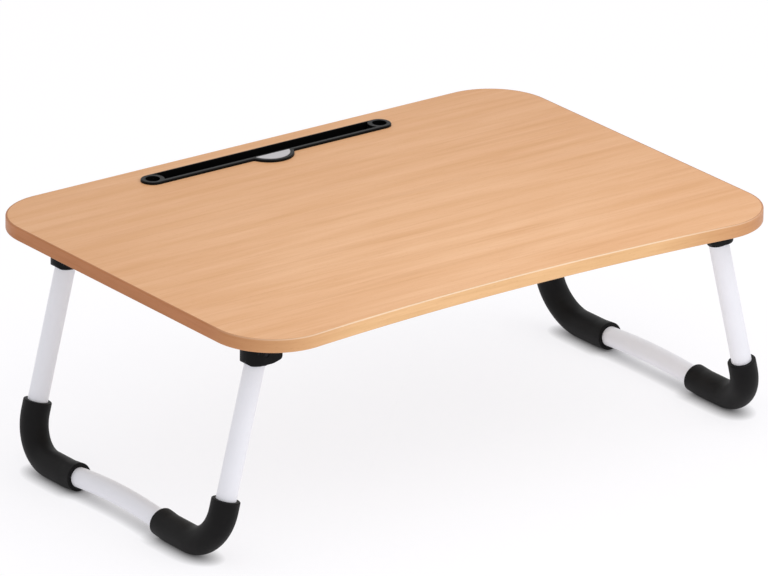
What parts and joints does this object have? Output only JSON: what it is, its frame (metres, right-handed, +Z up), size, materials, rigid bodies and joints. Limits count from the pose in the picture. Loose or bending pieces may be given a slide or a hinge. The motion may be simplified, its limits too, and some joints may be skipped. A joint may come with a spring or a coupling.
{
  "type": "folding laptop table",
  "caption": "Low table with a rounded beech laminate board, a black device slot along the back and white U-shaped tube legs on plastic hinges that fold flat under the board.",
  "frame": {"origin": "on the floor under the middle of the board, with both legs open", "axes": "+X along the board, +Y from the bowed front edge to the slot at the back, +Z up"},
  "size_m": [0.741, 0.5, 0.263],
  "materials": {
    "board_core": "pressed fibreboard, hidden by laminate and edge band",
    "beech_laminate": "satin printed beech laminate, grain along the board",
    "beech_edge": "satin beech edge band with softened arrises",
    "black_gloss_plastic": "semi-gloss moulded plastic",
    "grey_plastic": "light grey moulded inlay",
    "black_plastic": "fine-textured moulded nylon",
    "black_rubber": "matt foam rubber",
    "white_powder_coat": "satin white powder coat on steel tube",
    "zinc_steel": "bright zinc-plated steel",
    "blackened_steel": "black-oxide steel pins"
  },
  "bodies": {
    "tabletop": {"tabletop_core": "board_core", "top_laminate": "beech_laminate", "underside_laminate": "beech_laminate", "edge_band": "beech_edge", "slot_insert": "black_gloss_plastic", "tab_pad": "grey_plastic", "bracket_screws": "zinc_steel", "bracket_front_left": "black_plastic", "bracket_rear_left": "black_plastic", "bracket_front_right": "black_plastic", "bracket_rear_right": "black_plastic", "hinge_pin_front_left": "blackened_steel", "hinge_pin_rear_left": "blackened_steel", "hinge_pin_front_right": "blackened_steel", "hinge_pin_rear_right": "blackened_steel"},
    "left_leg": {"leg_tube_left": "white_powder_coat", "cross_pins_left": "blackened_steel", "knuckle_front_left": "black_plastic", "knuckle_rear_left": "black_plastic", "foot_sleeve_front_left": "black_rubber", "foot_sleeve_rear_left": "black_rubber"},
    "right_leg": {"leg_tube_right": "white_powder_coat", "cross_pins_right": "blackened_steel", "knuckle_front_right": "black_plastic", "knuckle_rear_right": "black_plastic", "foot_sleeve_front_right": "black_rubber", "foot_sleeve_rear_right": "black_rubber"}
  },
  "joints": [
    {"name": "left_leg_fold", "type": "hinge", "parent": "tabletop", "child": "left_leg", "pos_m": [-0.302, -0.015, 0.228], "axis": [0, -1, 0], "range_deg": [0, 104]},
    {"name": "right_leg_fold", "type": "hinge", "parent": "tabletop", "child": "right_leg", "pos_m": [0.302, -0.015, 0.228], "axis": [0, 1, 0], "range_deg": [0, 104]}
  ]
}
